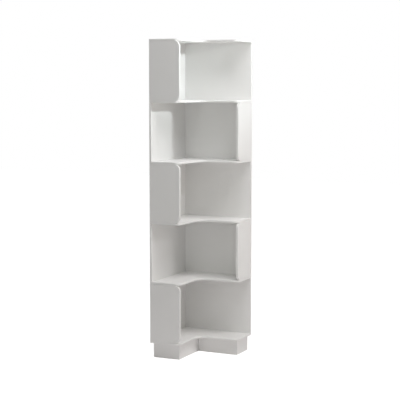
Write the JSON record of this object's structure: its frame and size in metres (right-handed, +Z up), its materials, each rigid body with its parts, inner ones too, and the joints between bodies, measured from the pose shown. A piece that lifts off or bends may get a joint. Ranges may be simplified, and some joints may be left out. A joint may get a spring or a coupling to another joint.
{
  "type": "corner bookcase",
  "caption": "Tall L-shaped corner bookcase on a recessed plinth: open tiers between rounded boards, with end panels that change arm from tier to tier.",
  "frame": {"origin": "on the floor under the middle of the bookcase's box, which is the middle of the square that its two arms span", "axes": "+Z up; the room corner is at -X, +Y; +X runs along the rear arm away from the corner, and +Y points at the rear room wall"},
  "size_m": [0.46, 0.46, 1.9],
  "materials": {
    "white_lacquer": "satin white lacquer on fibreboard",
    "softwood": "bare planed softwood",
    "beech": "bare fluted beech",
    "zinc_plated_steel": "zinc plated"
  },
  "bodies": {
    "root": {"base_board": "white_lacquer", "shelf_board_1": "white_lacquer", "shelf_board_2": "white_lacquer", "shelf_board_3": "white_lacquer", "shelf_board_4": "white_lacquer", "top_board": "white_lacquer", "rear_wall_1": "white_lacquer", "rear_wall_2": "white_lacquer", "rear_wall_3": "white_lacquer", "rear_wall_4": "white_lacquer", "rear_wall_5": "white_lacquer", "side_wall_1": "white_lacquer", "side_wall_2": "white_lacquer", "side_wall_3": "white_lacquer", "side_wall_4": "white_lacquer", "side_wall_5": "white_lacquer", "end_panel_1": "white_lacquer", "end_panel_2": "white_lacquer", "end_panel_3": "white_lacquer", "end_panel_4": "white_lacquer", "end_panel_5": "white_lacquer", "plinth_rear": "white_lacquer", "plinth_left": "white_lacquer", "plinth_front_left": "white_lacquer", "plinth_inner": "white_lacquer", "plinth_front_right": "white_lacquer", "plinth_right": "white_lacquer", "plinth_block_rear_left": "softwood", "plinth_block_front_left": "softwood", "plinth_block_front_middle": "softwood", "plinth_block_inner": "softwood", "plinth_block_front_right": "softwood", "plinth_block_rear_right": "softwood", "rear_dowel_1": "beech", "rear_dowel_2": "beech", "rear_dowel_3": "beech", "rear_dowel_4": "beech", "rear_dowel_5": "beech", "rear_dowel_6": "beech", "side_dowel_1": "beech", "side_dowel_2": "beech", "side_dowel_3": "beech", "side_dowel_4": "beech", "side_dowel_5": "beech", "side_dowel_6": "beech", "panel_dowel_low_1": "beech", "panel_dowel_low_2": "beech", "panel_dowel_low_3": "beech", "panel_dowel_low_4": "beech", "panel_dowel_low_5": "beech", "panel_dowel_high_1": "beech", "panel_dowel_high_2": "beech", "panel_dowel_high_3": "beech", "panel_dowel_high_4": "beech", "panel_dowel_high_5": "beech", "wall_anchor_plate": "zinc_plated_steel", "wall_anchor_screw_1": "zinc_plated_steel", "wall_anchor_screw_2": "zinc_plated_steel"}
  },
  "joints": []
}
